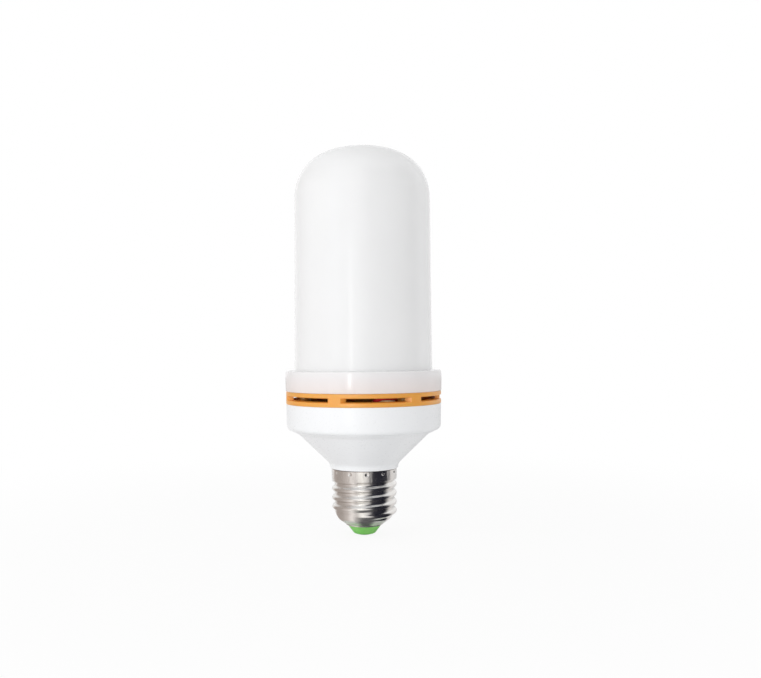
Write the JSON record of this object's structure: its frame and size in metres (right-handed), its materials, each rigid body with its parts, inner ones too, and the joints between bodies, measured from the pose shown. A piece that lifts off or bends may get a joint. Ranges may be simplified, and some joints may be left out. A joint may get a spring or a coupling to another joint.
{
  "type": "flame effect led bulb",
  "caption": "Tall round LED lamp with a milky domed cover, an orange slotted vent ring, a white tapering housing and a nickel plated Edison screw cap.",
  "frame": {"origin": "end face of the centre contact, on the axis of the screw cap", "axes": "+Z along the axis from the cap to the domed end, -Y towards the front, where a vent slot shows"},
  "size_m": [0.0636, 0.0636, 0.1572],
  "materials": {
    "milky_plastic": "satin milky, passes light",
    "orange_plastic": "smooth moulded orange",
    "white_plastic": "smooth moulded white",
    "nickel_shell": "bright nickel plate",
    "nickel_contact": "bright nickel plate",
    "green_insulator": "smooth green",
    "plate_white": "moulded matt white",
    "former_white": "moulded matt white",
    "flex_white": "white solder mask",
    "led_yellow": "yellow phosphor in a white frame",
    "board_green": "green solder mask",
    "board_brown": "brown laminate",
    "chip_black": "matt black moulding",
    "can_sleeve": "dark shrink sleeve",
    "film_yellow": "yellow moulded case",
    "fuse_blue": "blue lacquer",
    "ferrite": "dark ferrite and tape",
    "screw_steel": "zinc plated",
    "pin_metal": "plated pins",
    "red_insulation": "red wire insulation",
    "white_insulation": "off-white wire insulation",
    "tinned_wire": "bare tinned wire"
  },
  "bodies": {
    "root": {"diffuser_cover": "milky_plastic", "vent_ring": "orange_plastic", "housing": "white_plastic", "screw_shell": "nickel_shell", "cap_insulator": "green_insulator", "centre_contact": "nickel_contact", "carrier_plate": "plate_white", "carrier_screws": "screw_steel", "tube_former": "former_white", "flex_board": "flex_white", "side_leds": "led_yellow", "top_board": "flex_white", "top_leds": "led_yellow", "control_board": "board_green", "controller_chip": "chip_black", "column_switches": "chip_black", "column_pins": "pin_metal", "driver_board": "board_brown", "input_capacitor": "can_sleeve", "output_capacitor": "can_sleeve", "fuse_resistor": "fuse_blue", "film_capacitor": "film_yellow", "bridge_rectifier": "chip_black", "driver_chip": "chip_black", "output_diode": "chip_black", "transformer": "ferrite", "contact_lead": "red_insulation", "shell_lead": "tinned_wire", "red_lead": "red_insulation", "white_lead": "white_insulation"}
  },
  "joints": []
}
